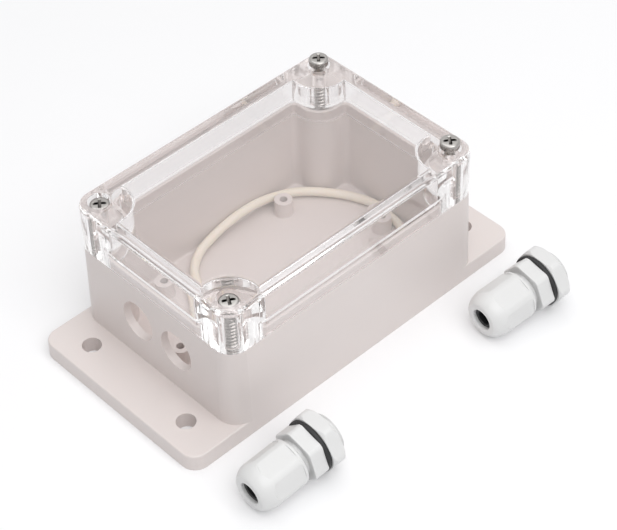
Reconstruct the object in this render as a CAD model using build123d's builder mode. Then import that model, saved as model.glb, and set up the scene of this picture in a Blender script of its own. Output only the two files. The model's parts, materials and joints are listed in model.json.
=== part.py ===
from build123d import *
import math
import os

# A small waterproof enclosure: a moulded base with a fixing ear at each end, a clear lid held by four
# screws, a loose seal cord that belongs in the lid's groove, and two cable glands lying beside the box.
# Millimetres. X runs along the box, Z is up, and the origin is on the underside, midway between the
# four ear holes. The gland holes are in the end wall at -X, and the front is at -Y.

# Overall sizes
overall_length = 132.2
overall_width = 68.7
overall_height = 50.1

# Base shell
body_length = 100.4
seam_height = 33.8
base_draft = 1.3
corner_radius = 6.0
floor_thickness = 3.0
wall_at_seam = 2.2
hollow_fillet = 2.5
floor_fillet = 0.8
seam_inset = seam_height * math.tan(math.radians(base_draft))
seam_length = body_length - 2 * seam_inset
seam_width = overall_width - 2 * seam_inset
hollow_length = seam_length - 2 * wall_at_seam
hollow_width = seam_width - 2 * wall_at_seam

# Fixing ears
ear_thickness = 5.5
ear_corner_radius = 5.0
ear_edge_fillet = 0.5
ear_hole_diameter = 6.0
ear_hole_from_end = 8.9
ear_hole_pitch_y = 42.4
ear_hole_pitch_x = overall_length - 2 * ear_hole_from_end

# Corner columns and the screws' holes
column_radius = 7.4
column_centre_inset = corner_radius
screw_pitch_x = seam_length - 2 * column_centre_inset
screw_pitch_y = seam_width - 2 * column_centre_inset
pilot_clearance = 0.05
pilot_depth = 18.0

# Sealing tongue on the base and groove in the lid
tongue_thickness = 1.1
tongue_height = 2.7
tongue_top_fillet = 0.3
groove_gap_outside = 0.2
groove_gap_inside = 0.9
groove_depth = 5.0
inner_lip_thickness = 1.0

# Gland holes in the end wall
gland_hole_diameter = 13.0
gland_hole_pitch = 16.8
gland_hole_centre_y = -1.5
gland_hole_centre_z = 20.5
gland_hole_cut_depth = 6.0

# Standoffs for a circuit board
standoff_base_diameter = 6.2
standoff_top_diameter = 5.8
standoff_height = 5.5
standoff_hole_diameter = 2.5
standoff_hole_depth = 5.0
standoff_root_fillet = 0.4
corner_standoff_pitch_x = 46.8
corner_standoff_pitch_y = 48.2
end_standoff_pitch_x = 81.2
standoff_taper = math.degrees(
    math.atan2((standoff_base_diameter - standoff_top_diameter) / 2, standoff_height)
)
standoff_centres = [(side * end_standoff_pitch_x / 2, 0.0) for side in (-1, 1)]
standoff_centres += [
    (side_x * corner_standoff_pitch_x / 2, side_y * corner_standoff_pitch_y / 2)
    for side_x in (-1, 1)
    for side_y in (-1, 1)
]

# Lid
lid_height = overall_height - seam_height
lid_top_thickness = 2.5
lid_edge_fillet = 1.6
lid_hollow_fillet = 1.0
lid_hole_diameter = 4.2
counterbore_diameter = 7.0
counterbore_depth = 3.2

# Lid screws
screw_head_diameter = 6.0
screw_head_height = 2.4
screw_head_rim = 0.7
screw_core_diameter = 2.8
screw_length = 22.0
screw_tip_length = 2.5
screw_tip_diameter = 1.2
cross_slot_width = 0.9
cross_slot_length = 3.4
cross_slot_depth = 1.3
cross_slot_taper = 18.0
raised_screw_lift = 3.8

# Seal cord, with its rises off the floor where it leans up against the back wall
cord_diameter = 2.9
cord_floor_gap = 0.1
cord_foot_rise = 0.4
cord_shoulder_rise = 1.2
cord_top_rise = 3.1
cord_bend_share = 0.45

# Gland body, measured along its axis from the face that seats on the wall's washer
gland_thread_diameter = 12.4
gland_thread_length = 8.0
gland_bore_diameter = 8.5
gland_hex_flats = 15.1
gland_hex_corner_fillet = 1.4
gland_hex_height = 4.8
cap_thread_diameter = 11.6
cap_thread_length = 7.0
claw_count = 8
claw_length = 5.0
claw_root_diameter = 11.0
claw_tip_diameter = 9.7
claw_slot_width = 0.9

# Dome nut
thread_clearance = 0.05
dome_nut_gap = 1.6
dome_nut_length = 15.9
dome_nut_flats = 14.4
dome_nut_diameter = 15.2
dome_nut_rear_chamfer = 0.5
dome_shoulder_length = 10.6
dome_flat_length = 12.8
dome_front_diameter = 10.8
dome_mouth_diameter = 7.2
dome_mouth_length = 2.4
dome_mouth_chamfer = 0.6
claw_clearance = 0.2

# Sealing insert
insert_outer_clearance = 0.1
insert_bore_diameter = 6.5
insert_sleeve_length = 6.0
insert_flange_length = 1.0
insert_flange_diameter = 8.9
insert_tip_gap = 0.3

# Washer and lock nut
washer_diameter = 17.2
washer_thickness = 1.3
lock_nut_flats = 17.4
lock_nut_diameter = 19.4
lock_nut_height = 4.5
lock_nut_chamfer = 0.8

# Where the glands lie on the surface: the flange's seat, seen from above, the heading from the X axis,
# and how far the body and the dome nut are screwed round from lying flat side down. The gap keeps their
# rounded edges clear of the surface by a hair.
lying_gap = 0.01
gland_1_seat_x = -41.1
gland_1_seat_y = -54.9
gland_2_seat_x = 52.2
gland_2_seat_y = -55.7
gland_lies = [
    {
        "seat": (gland_1_seat_x, gland_1_seat_y),
        "heading": -0.8,
        "body_turn": -15.0,
        "dome_turn": -13.0,
    },
    {
        "seat": (gland_2_seat_x, gland_2_seat_y),
        "heading": -3.6,
        "body_turn": -8.3,
        "dome_turn": -25.0,
    },
]

# How near to a named height or radius an edge lies to be picked by it
pick_tolerance = 0.01

os.makedirs("parts", exist_ok=True)


def save(part, name):
    """Label a finished piece and write it to its own file."""
    part.label = name
    export_step(part, f"parts/{name}.step")


def hollow_outline(plane, growth):
    """Draw the hollow's outline, a rectangle less a round column at each corner, grown all round."""
    with BuildSketch(plane, mode=Mode.PRIVATE) as outline:
        Rectangle(hollow_length + 2 * growth, hollow_width + 2 * growth)
        with GridLocations(screw_pitch_x, screw_pitch_y, 2, 2):
            Circle(column_radius - growth, mode=Mode.SUBTRACT)
        with GridLocations(screw_pitch_x + column_radius, screw_pitch_y + column_radius, 2, 2):
            Rectangle(column_radius, column_radius, mode=Mode.SUBTRACT)
        fillet(outline.vertices(), hollow_fillet + growth)
    return outline.sketch


def edges_at(builder, height):
    """Return the level edges that lie at one height."""
    level_edges = builder.edges().filter_by(Plane.XY)
    return level_edges.filter_by_position(Axis.Z, height - pick_tolerance, height + pick_tolerance)


def is_standoff_root(edge):
    """Say whether an edge is the circle where a standoff meets the floor."""
    if edge.geom_type != GeomType.CIRCLE:
        return False
    off_floor = abs(edge.arc_center.Z - floor_thickness)
    off_radius = abs(edge.radius - standoff_base_diameter / 2)
    return max(off_floor, off_radius) < pick_tolerance


def profile_plane(place):
    """Return the plane through a gland's axis, with radius along its x and station along its y."""
    return Plane(place.origin, x_dir=place.x_dir, z_dir=place.x_dir.cross(place.z_dir))


def axis_of(place):
    """Return the axis along a gland's placing plane."""
    return Axis(place.origin, place.z_dir)


# Base: drafted shell with ears, columns, tongue, standoffs and gland holes
seam_plane = Plane.XY.offset(seam_height)
floor_plane = Plane.XY.offset(floor_thickness)
with BuildPart() as base:
    with BuildSketch(Plane.XY):
        RectangleRounded(overall_length, overall_width, ear_corner_radius)
    extrude(amount=ear_thickness, taper=base_draft)
    fillet(edges_at(base, ear_thickness), ear_edge_fillet)
    with BuildSketch(Plane.XY):
        RectangleRounded(body_length, overall_width, corner_radius + seam_inset)
    extrude(amount=seam_height, taper=base_draft)
    extrude(hollow_outline(floor_plane, 0.0), amount=seam_height, mode=Mode.SUBTRACT)
    fillet(edges_at(base, floor_thickness), floor_fillet)
    tongue_outline = hollow_outline(seam_plane, tongue_thickness) - hollow_outline(seam_plane, 0.0)
    extrude(tongue_outline, amount=tongue_height)
    fillet(edges_at(base, seam_height + tongue_height), tongue_top_fillet)
    with Locations(Plane.XY.offset(ear_thickness)):
        with GridLocations(ear_hole_pitch_x, ear_hole_pitch_y, 2, 2):
            Hole(ear_hole_diameter / 2)
    with Locations(seam_plane):
        with GridLocations(screw_pitch_x, screw_pitch_y, 2, 2):
            Hole(screw_core_diameter / 2 + pilot_clearance, depth=pilot_depth)
    with BuildSketch(Plane.YZ.offset(-body_length / 2)):
        for side in (-1, 1):
            with Locations((gland_hole_centre_y + side * gland_hole_pitch / 2, gland_hole_centre_z)):
                Circle(gland_hole_diameter / 2)
    extrude(amount=gland_hole_cut_depth, mode=Mode.SUBTRACT)
    with BuildSketch(floor_plane):
        with Locations(*standoff_centres):
            Circle(standoff_base_diameter / 2)
    extrude(amount=standoff_height, taper=standoff_taper)
    fillet(base.edges().filter_by(is_standoff_root), standoff_root_fillet)
    with BuildSketch(floor_plane.offset(standoff_height)):
        with Locations(*standoff_centres):
            Circle(standoff_hole_diameter / 2)
    extrude(amount=-standoff_hole_depth, mode=Mode.SUBTRACT)
save(base.part, "base")

# Lid: clear moulding with a seal groove in its rim and a counterbored boss at each corner
with BuildPart() as lid:
    with BuildSketch(seam_plane):
        RectangleRounded(seam_length, seam_width, corner_radius)
    extrude(amount=lid_height)
    fillet(edges_at(lid, overall_height), lid_edge_fillet)
    lid_hollow_inset = groove_gap_inside + inner_lip_thickness
    lid_hollow_depth = lid_height - lid_top_thickness
    extrude(hollow_outline(seam_plane, -lid_hollow_inset), amount=lid_hollow_depth, mode=Mode.SUBTRACT)
    fillet(edges_at(lid, seam_height + lid_hollow_depth), lid_hollow_fillet)
    groove_outside = hollow_outline(seam_plane, tongue_thickness + groove_gap_outside)
    groove_outline = groove_outside - hollow_outline(seam_plane, -groove_gap_inside)
    extrude(groove_outline, amount=groove_depth, mode=Mode.SUBTRACT)
    with Locations(Plane.XY.offset(overall_height)):
        with GridLocations(screw_pitch_x, screw_pitch_y, 2, 2):
            CounterBoreHole(lid_hole_diameter / 2, counterbore_diameter / 2, counterbore_depth)
save(lid.part, "lid")


# Lid screws: cross-recessed pan heads, the two at the back right and front right not driven home
def make_screw(x, y, lift):
    """Build one lid screw at a corner, with its head lifted off the counterbore's floor."""
    seat = Plane((x, y, overall_height - counterbore_depth + lift))
    head_radius = screw_head_diameter / 2
    core_radius = screw_core_diameter / 2
    with BuildPart() as screw:
        with BuildSketch(profile_plane(seat)):
            with BuildLine():
                Polyline(
                    (0, screw_head_height),
                    (0, -screw_length),
                    (screw_tip_diameter / 2, -screw_length),
                    (core_radius, -screw_length + screw_tip_length),
                    (core_radius, 0),
                    (head_radius, 0),
                    (head_radius, screw_head_rim),
                )
                TangentArc((0, screw_head_height), (head_radius, screw_head_rim), tangent=(1, 0))
            make_face()
        revolve(axis=axis_of(seat))
        with BuildSketch(seat.offset(screw_head_height)):
            Rectangle(cross_slot_length, cross_slot_width)
            Rectangle(cross_slot_width, cross_slot_length)
        extrude(amount=-cross_slot_depth, taper=cross_slot_taper, mode=Mode.SUBTRACT)
    return screw.part


half_x = screw_pitch_x / 2
half_y = screw_pitch_y / 2
save(make_screw(-half_x, -half_y, 0.0), "lid_screw_front_left")
save(make_screw(-half_x, half_y, 0.0), "lid_screw_back_left")
save(make_screw(half_x, half_y, raised_screw_lift), "lid_screw_back_right")
save(make_screw(half_x, -half_y, raised_screw_lift), "lid_screw_front_right")

# Seal cord: lies loose round the inside of the base, up against the back wall, with its ends at the front
cord_z = floor_thickness + cord_diameter / 2 + cord_floor_gap
cord_points = [
    (29.5, -29.2, cord_z),
    (18.0, -29.3, cord_z),
    (6.0, -29.6, cord_z),
    (-6.0, -28.3, cord_z),
    (-18.0, -29.5, cord_z),
    (-27.0, -29.0, cord_z),
    (-33.0, -24.0, cord_z),
    (-34.3, -16.0, cord_z),
    (-33.5, -7.0, cord_z),
    (-30.0, 1.5, cord_z),
    (-24.5, 9.0, cord_z),
    (-19.3, 16.0, cord_z),
    (-15.7, 23.0, cord_z),
    (-9.8, 27.6, cord_z + cord_foot_rise),
    (-2.0, 29.5, cord_z + cord_shoulder_rise),
    (7.0, 29.7, cord_z + cord_top_rise),
    (16.5, 29.7, cord_z + cord_top_rise),
    (24.7, 29.3, cord_z + cord_shoulder_rise),
    (31.8, 26.6, cord_z + cord_foot_rise),
    (37.0, 21.0, cord_z + cord_foot_rise),
    (41.8, 14.6, cord_z),
    (44.9, 7.4, cord_z),
    (45.6, 0.0, cord_z),
    (43.6, -7.0, cord_z),
    (40.0, -13.4, cord_z),
    (33.4, -17.6, cord_z),
    (24.5, -17.0, cord_z),
    (14.5, -13.6, cord_z),
    (4.0, -13.9, cord_z),
    (-5.5, -18.0, cord_z),
    (-15.5, -19.3, cord_z),
    (-24.0, -15.8, cord_z),
    (-28.3, -8.8, cord_z),
]


def bend_radii(points):
    """Return each inner point's arc radius: a share of the shorter run over the tangent of half the turn."""
    spots = [Vector(*point) for point in points]
    radii = []
    for before, here, after in zip(spots, spots[1:], spots[2:]):
        run_in = here - before
        run_out = after - here
        half_turn = math.radians(run_in.get_angle(run_out)) / 2
        radii.append(cord_bend_share * min(run_in.length, run_out.length) / math.tan(half_turn))
    return radii


cord_radii = bend_radii(cord_points)
with BuildPart() as seal_cord:
    with BuildLine() as cord_path:
        FilletPolyline(*cord_points, radius=cord_radii)
    with BuildSketch(Plane(cord_path.line @ 0, z_dir=cord_path.line % 0)):
        Circle(cord_diameter / 2)
    sweep()
save(seal_cord.part, "seal_cord")
cord_length = sum(edge.length for edge in cord_path.edges())
cord_section = math.pi * cord_diameter**2 / 4
print("cord length", round(cord_length, 1), "radii", [round(radius, 1) for radius in cord_radii])
print("cord volume over section times length", round(seal_cord.part.volume / cord_section / cord_length, 4))
groove_middle = hollow_outline(seam_plane, tongue_thickness / 2)
print("seal groove's middle line", round(groove_middle.face().outer_wire().length, 1))


# Cable glands
def make_gland_body(place):
    """Build a gland's body: wall thread, hexagon, cap thread and a ring of clamping claws, bored through."""
    thread_radius = gland_thread_diameter / 2
    cap_radius = cap_thread_diameter / 2
    claw_start = gland_hex_height + cap_thread_length
    claw_end = claw_start + claw_length
    with BuildPart() as body:
        with BuildSketch(place):
            RegularPolygon(gland_hex_flats / 2, 6, major_radius=False)
        extrude(amount=gland_hex_height)
        fillet(body.edges().filter_by(axis_of(place)), gland_hex_corner_fillet)
        with BuildSketch(profile_plane(place)):
            with BuildLine():
                Polyline(
                    (0, -gland_thread_length),
                    (thread_radius, -gland_thread_length),
                    (thread_radius, 0),
                    (cap_radius, gland_hex_height),
                    (cap_radius, claw_start),
                    (claw_root_diameter / 2, claw_start),
                    (claw_tip_diameter / 2, claw_end),
                    (0, claw_end),
                    close=True,
                )
            make_face()
        revolve(axis=axis_of(place))
        with BuildSketch(place.offset(-gland_thread_length)):
            Circle(gland_bore_diameter / 2)
        extrude(amount=gland_thread_length + claw_end, mode=Mode.SUBTRACT)
        with BuildSketch(place.offset(claw_end)):
            with PolarLocations(gland_bore_diameter / 2, claw_count):
                Rectangle(gland_bore_diameter / 2, claw_slot_width)
        extrude(amount=-claw_length, mode=Mode.SUBTRACT)
    return body.part


def make_dome_nut(place):
    """Build a dome nut: a hexagon running out into a dome, with a thread bore and a cone over the claws."""
    start = gland_hex_height + dome_nut_gap
    end = start + dome_nut_length
    outer = dome_nut_diameter / 2
    thread_radius = cap_thread_diameter / 2 + thread_clearance
    thread_end = gland_hex_height + cap_thread_length + dome_nut_gap
    claw_end = gland_hex_height + cap_thread_length + claw_length
    mouth = dome_mouth_diameter / 2
    mouth_start = end - dome_mouth_length
    cone_at_tip = claw_tip_diameter / 2 + claw_clearance
    cone_slope = (thread_radius - cone_at_tip) / (claw_end - thread_end)
    cone_end_radius = cone_at_tip - cone_slope * (mouth_start - claw_end)
    with BuildPart() as nut:
        with BuildSketch(profile_plane(place)):
            with BuildLine():
                Polyline(
                    (0, end),
                    (0, start),
                    (outer - dome_nut_rear_chamfer, start),
                    (outer, start + dome_nut_rear_chamfer),
                    (outer, start + dome_shoulder_length),
                )
                ThreePointArc(
                    (outer, start + dome_shoulder_length),
                    (dome_nut_flats / 2, start + dome_flat_length),
                    (dome_front_diameter / 2, end),
                )
                Line((dome_front_diameter / 2, end), (0, end))
            make_face()
        revolve(axis=axis_of(place))
        with BuildSketch(place.offset(start)):
            RegularPolygon(dome_nut_flats / 2, 6, major_radius=False)
        extrude(amount=dome_nut_length, mode=Mode.INTERSECT)
        with BuildSketch(profile_plane(place)):
            with BuildLine():
                Polyline(
                    (0, start),
                    (thread_radius, start),
                    (thread_radius, thread_end),
                    (cone_end_radius, mouth_start),
                    (mouth, mouth_start),
                    (mouth, end - dome_mouth_chamfer),
                    (mouth + dome_mouth_chamfer, end),
                    (0, end),
                    close=True,
                )
            make_face()
        revolve(axis=axis_of(place), mode=Mode.SUBTRACT)
    return nut.part


def make_seal_insert(place):
    """Build the rubber sleeve that the claws press on the cable, with a flange over the claws' tips."""
    claw_end = gland_hex_height + cap_thread_length + claw_length
    sleeve = gland_bore_diameter / 2 - insert_outer_clearance
    flange_start = claw_end + insert_tip_gap
    with BuildPart() as insert:
        with BuildSketch(profile_plane(place)):
            with BuildLine():
                Polyline(
                    (insert_bore_diameter / 2, claw_end - insert_sleeve_length),
                    (sleeve, claw_end - insert_sleeve_length),
                    (sleeve, flange_start),
                    (insert_flange_diameter / 2, flange_start),
                    (insert_flange_diameter / 2, flange_start + insert_flange_length),
                    (insert_bore_diameter / 2, flange_start + insert_flange_length),
                    close=True,
                )
            make_face()
        revolve(axis=axis_of(place))
    return insert.part


def make_washer(place):
    """Build the flat rubber washer between the flange and the lock nut."""
    with BuildPart() as washer:
        with BuildSketch(place):
            Circle(washer_diameter / 2)
            Circle(gland_thread_diameter / 2 + thread_clearance, mode=Mode.SUBTRACT)
        extrude(amount=-washer_thickness)
    return washer.part


def make_lock_nut(place):
    """Build the hexagonal lock nut, its corners turned down to a round and chamfered."""
    near = -washer_thickness
    far = near - lock_nut_height
    outer = lock_nut_diameter / 2
    with BuildPart() as nut:
        with BuildSketch(profile_plane(place)):
            with BuildLine():
                Polyline(
                    (gland_thread_diameter / 2 + thread_clearance, near),
                    (outer - lock_nut_chamfer, near),
                    (outer, near - lock_nut_chamfer),
                    (outer, far + lock_nut_chamfer),
                    (outer - lock_nut_chamfer, far),
                    (gland_thread_diameter / 2 + thread_clearance, far),
                    close=True,
                )
            make_face()
        revolve(axis=axis_of(place))
        with BuildSketch(place.offset(near)):
            RegularPolygon(lock_nut_flats / 2, 6, major_radius=False)
        extrude(amount=-lock_nut_height, mode=Mode.INTERSECT)
    return nut.part


def place_gland(lie):
    """Return the plane of a lying gland's seat: it leans on its lock nut's flat and its dome nut's shoulder."""
    dome_radius = dome_nut_diameter / 2
    corner_reach = math.degrees(math.acos(dome_nut_flats / dome_nut_diameter))
    off_corner = math.radians(max(corner_reach - abs(lie["dome_turn"]), 0))
    drop = lock_nut_flats / 2 - dome_radius * math.cos(off_corner)
    span = washer_thickness + gland_hex_height + dome_nut_gap + dome_shoulder_length
    dip = math.atan2(drop, span)
    heading = math.radians(lie["heading"])
    towards_dome = Vector(
        -math.cos(dip) * math.cos(heading), -math.cos(dip) * math.sin(heading), -math.sin(dip)
    )
    level = Vector(math.sin(heading), -math.cos(heading), 0)
    seat_height = lying_gap + lock_nut_flats / 2 * math.cos(dip) - washer_thickness * math.sin(dip)
    return Plane((*lie["seat"], seat_height), x_dir=level, z_dir=towards_dome)


def screwed_round(place, turn):
    """Return a gland's placing plane turned about its own axis."""
    own_axis = Axis((0, 0, 0), place.z_dir)
    return Plane(place.origin, x_dir=place.x_dir.rotate(own_axis, turn), z_dir=place.z_dir)


gland_makers = {
    "body": make_gland_body,
    "dome_nut": make_dome_nut,
    "seal_insert": make_seal_insert,
    "washer": make_washer,
    "lock_nut": make_lock_nut,
}
for number, lie in enumerate(gland_lies, start=1):
    place = place_gland(lie)
    turns = {"body": lie["body_turn"], "dome_nut": lie["dome_turn"]}
    print("gland", number, "seat", tuple(place.origin), "axis", tuple(place.z_dir))
    for piece, maker in gland_makers.items():
        save(maker(screwed_round(place, turns.get(piece, 0.0))), f"gland_{number}_{piece}")
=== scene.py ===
"""Dresses the waterproof enclosure and its two loose cable glands."""
import json
import logging
import math
from dataclasses import dataclass
from enum import Enum
from typing import Any, Optional, Sequence, Union

import bmesh
import bpy
import numpy as np
from mathutils import Matrix, Vector


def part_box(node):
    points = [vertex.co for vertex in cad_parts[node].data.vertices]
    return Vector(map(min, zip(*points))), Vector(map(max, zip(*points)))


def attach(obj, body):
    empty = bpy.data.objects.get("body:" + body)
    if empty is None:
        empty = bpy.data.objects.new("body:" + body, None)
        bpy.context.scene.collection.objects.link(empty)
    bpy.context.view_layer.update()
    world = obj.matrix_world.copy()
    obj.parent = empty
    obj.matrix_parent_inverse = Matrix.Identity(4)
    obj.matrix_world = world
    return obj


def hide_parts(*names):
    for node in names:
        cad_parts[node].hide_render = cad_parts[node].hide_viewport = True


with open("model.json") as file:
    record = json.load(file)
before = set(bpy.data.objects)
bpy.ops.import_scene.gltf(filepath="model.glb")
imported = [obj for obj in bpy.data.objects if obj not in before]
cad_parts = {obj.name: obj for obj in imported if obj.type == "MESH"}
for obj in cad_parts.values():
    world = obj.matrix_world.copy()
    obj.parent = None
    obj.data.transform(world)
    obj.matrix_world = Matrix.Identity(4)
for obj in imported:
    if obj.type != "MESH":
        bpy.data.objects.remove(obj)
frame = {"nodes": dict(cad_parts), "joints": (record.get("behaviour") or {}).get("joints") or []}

LOG = logging.getLogger("enclosure")
MM = 0.001
SIXTH = math.radians(60)
TURN = 2 * math.pi
TOUCH = 0.001 * MM
Colour = tuple[float, float, float]
Scalar = Union[float, int, "Value"]


class Corner(Enum):
    """The lid's corners, each of which has a screw."""

    FRONT_LEFT = "front_left"
    BACK_LEFT = "back_left"
    BACK_RIGHT = "back_right"
    FRONT_RIGHT = "front_right"


# Shader maths


class Value:
    """A number that varies over a surface. Python's operators on it add Math nodes."""

    def __init__(self, tree: bpy.types.NodeTree, socket: bpy.types.NodeSocket) -> None:
        """Wrap an output socket.

        Args:
            tree: the node tree that the socket is in.
            socket: the output socket that carries the number.
        """
        self.tree = tree
        self.socket = socket

    def _maths(self, operation: str, first: Scalar, second: Scalar, clamp: bool = False) -> "Value":
        """Add one Math node.

        Args:
            operation: the node's operation.
            first: its first number.
            second: its second number.
            clamp: whether the result is kept between 0 and 1.

        Returns:
            The node's result.
        """
        node = self.tree.nodes.new("ShaderNodeMath")
        node.operation = operation
        node.use_clamp = clamp
        for slot, item in zip(node.inputs, (first, second)):
            if isinstance(item, Value):
                self.tree.links.new(item.socket, slot)
            else:
                slot.default_value = item
        return Value(self.tree, node.outputs[0])

    def __add__(self, other: Scalar) -> "Value":
        """Add a number or another value."""
        return self._maths("ADD", self, other)

    __radd__ = __add__

    def __sub__(self, other: Scalar) -> "Value":
        """Take a number or another value away."""
        return self._maths("SUBTRACT", self, other)

    def __rsub__(self, other: Scalar) -> "Value":
        """Take this value away from a number."""
        return self._maths("SUBTRACT", other, self)

    def __mul__(self, other: Scalar) -> "Value":
        """Multiply by a number or another value."""
        return self._maths("MULTIPLY", self, other)

    __rmul__ = __mul__

    def at_least(self, other: Scalar) -> "Value":
        """Take the larger of this value and another."""
        return self._maths("MAXIMUM", self, other)

    def clamped(self) -> "Value":
        """Keep this value between 0 and 1."""
        return self._maths("ADD", self, 0.0, clamp=True)


class Recipe:
    """A material or world under construction, with one method that adds any node."""

    def __init__(self, holder: Union[bpy.types.Material, bpy.types.World]) -> None:
        """Start with no node in the material or world."""
        holder.use_nodes = True
        self.holder = holder
        self.tree = holder.node_tree
        self.tree.nodes.clear()

    def add(
        self,
        kind: str,
        settings: Optional[dict[str, Any]] = None,
        sockets: Optional[dict[Union[str, int], Any]] = None,
    ) -> bpy.types.Node:
        """Add a node of any kind.

        Args:
            kind: the node's type, without its ShaderNode prefix.
            settings: the node's own properties, set first.
            sockets: values or links of its input sockets, by name or number.

        Returns:
            The new node.
        """
        node = self.tree.nodes.new("ShaderNode" + kind)
        for key, value in (settings or {}).items():
            setattr(node, key, value)
        for key, value in (sockets or {}).items():
            slot = node.inputs[key]
            if isinstance(value, Value):
                value = value.socket
            if isinstance(value, bpy.types.NodeSocket):
                self.tree.links.new(value, slot)
            else:
                slot.default_value = value
        return node

    def value(self, node: bpy.types.Node, output: Union[str, int] = 0) -> Value:
        """Wrap a node's output for maths."""
        return Value(self.tree, node.outputs[output])

    def ray(self, *kinds: str) -> Value:
        """Read the light path's outputs of these names, and take the largest."""
        path = self.add("LightPath")
        largest = self.value(path, kinds[0])
        for kind in kinds[1:]:
            largest = largest.at_least(self.value(path, kind))
        return largest

    def place(
        self, centre: Sequence[float] = (0, 0, 0), stretch: Sequence[float] = (1, 1, 1)
    ) -> bpy.types.NodeSocket:
        """Give the coordinates of a pattern.

        Args:
            centre: the point that the pattern is centred on, in metres.
            stretch: how much it is squeezed along each axis.

        Returns:
            The vector's socket.
        """
        source = self.add("TexCoord").outputs["Object"]
        moved = self.add("VectorMath", {"operation": "SUBTRACT"}, {0: source, 1: tuple(centre)})
        return self.add("Mapping", None, {"Vector": moved.outputs[0], "Scale": tuple(stretch)}).outputs[0]

    def noise(
        self, where: bpy.types.NodeSocket, size: float, detail: float = 2.0, contrast: float = 0.5
    ) -> Value:
        """Add soft noise.

        Args:
            where: the coordinates that it follows.
            size: the size of its largest blots, in metres.
            detail: how many finer layers it has.
            contrast: how strong the finer layers are.

        Returns:
            A value about 0.5.
        """
        return self.value(self.add("TexNoise", None, {
            "Vector": where, "Scale": 1.0 / size, "Detail": detail, "Roughness": contrast,
        }))

    def shade(self, colour: Colour, by: Value, spread: float) -> bpy.types.NodeSocket:
        """Vary a colour's brightness.

        Args:
            colour: the middle colour.
            by: a value from 0 to 1 that says where it is lighter.
            spread: how far the brightness goes each way, as a share.

        Returns:
            The colour's socket.
        """
        dark = tuple(c * (1 - spread) for c in colour) + (1.0,)
        light = tuple(min(c * (1 + spread), 1.0) for c in colour) + (1.0,)
        node = self.add("Mix", {"data_type": "RGBA"}, {0: by, 6: dark, 7: light})
        return node.outputs[2]

    def tint(self, amount: Value, under: Any, over: Colour) -> bpy.types.NodeSocket:
        """Lay one colour over another.

        Args:
            amount: how much of the upper colour shows.
            under: the colour or socket below.
            over: the colour above.

        Returns:
            The colour's socket.
        """
        node = self.add("Mix", {"data_type": "RGBA"}, {0: amount, 6: under, 7: tuple(over) + (1.0,)})
        return node.outputs[2]

    def bump(
        self, height: Value, depth: float, below: Optional[bpy.types.NodeSocket] = None
    ) -> bpy.types.NodeSocket:
        """Turn a height into a surface direction.

        Args:
            height: a value from 0 to 1.
            depth: how many metres stand between 0 and 1.
            below: the direction of a coarser bump that this one rides on.

        Returns:
            The direction's socket.
        """
        sockets: dict[Union[str, int], Any] = {"Height": height, "Distance": depth, "Strength": 1.0}
        if below is not None:
            sockets["Normal"] = below
        return self.add("Bump", None, sockets).outputs[0]

    def finish(
        self, shader: bpy.types.Node, output: str = "OutputMaterial"
    ) -> Union[bpy.types.Material, bpy.types.World]:
        """Send a shader to the surface.

        Args:
            shader: the last shader node.
            output: the kind of output node.

        Returns:
            The finished material or world.
        """
        self.add(output, None, {"Surface": shader.outputs[0]})
        return self.holder


# Finishes


@dataclass(frozen=True)
class MouldedShell:
    """Pale warm grey plastic with a fine spark-eroded grain and faint flow marks."""

    colour: Colour = (0.735, 0.672, 0.652)
    colour_spread: float = 0.022
    gloss: float = 0.36
    streak_gloss: float = 0.10
    speck_gloss: float = 0.12
    grain: float = 0.00035
    grain_depth: float = 0.000006
    flow: float = 0.018
    flow_run: tuple[float, float, float] = (0.35, 0.35, 1.4)

    def build(self) -> bpy.types.Material:
        """Make the material.

        Returns:
            The finished material.
        """
        r = Recipe(bpy.data.materials.new("moulded_shell"))
        where = r.place()
        streaks = r.noise(r.place(stretch=self.flow_run), self.flow, 3.0, 0.55)
        patches = r.noise(where, self.flow * 2, 2.0)
        grain = r.noise(where, self.grain, 2.0, 0.6)
        specks = r.noise(where, self.grain * 5, 3.0, 0.6)
        colour = r.shade(self.colour, (patches * 0.6 + streaks * 0.4).clamped(), self.colour_spread)
        rough = self.gloss + (streaks - 0.5) * self.streak_gloss + (specks - 0.5) * self.speck_gloss
        sink = r.bump(patches, self.grain_depth * 8)
        normal = r.bump(grain, self.grain_depth, sink)
        return r.finish(r.add("BsdfPrincipled", None, {
            "Base Color": colour, "Roughness": rough.clamped(), "Normal": normal,
            "IOR": 1.52, "Subsurface Weight": 0.06, "Subsurface Radius": (0.0012, 0.0010, 0.0009),
            "Subsurface Scale": 1.0,
        }))


@dataclass(frozen=True)
class ClearCover:
    """Clear polished plastic that lets light through to what is under it."""

    colour: Colour = (0.935, 0.922, 0.922)
    index: float = 1.58
    wave: float = 0.012
    wave_depth: float = 0.000012
    smudge_gloss: float = 0.10
    turns_inside: float = 4.0
    straight_colour: Colour = (0.975, 0.97, 0.97)

    def build(self) -> bpy.types.Material:
        """Make the material.

        Returns:
            The finished material.
        """
        r = Recipe(bpy.data.materials.new("clear_cover"))
        where = r.place()
        waves = r.noise(where, self.wave, 1.0)
        smudges = r.noise(where, self.wave * 1.7, 4.0, 0.6)
        rough = ((smudges - 0.45).at_least(0.0) * self.smudge_gloss).clamped()
        normal = r.bump(waves, self.wave_depth)
        body = r.add("BsdfPrincipled", None, {
            "Base Color": self.colour + (1.0,), "Roughness": rough, "Normal": normal,
            "IOR": self.index, "Transmission Weight": 0.98,
        })
        clear = r.add("BsdfTransparent", None, {"Color": self.straight_colour + (1.0,)})
        # A ray caught between the faces of the rim leaves straight on after a few turns
        caught = (r.ray("Ray Depth") - self.turns_inside).clamped()
        passing = r.ray("Is Shadow Ray", "Is Diffuse Ray").at_least(caught)
        return r.finish(r.add("MixShader", None, {0: passing, 1: body.outputs[0], 2: clear.outputs[0]}))


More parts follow.
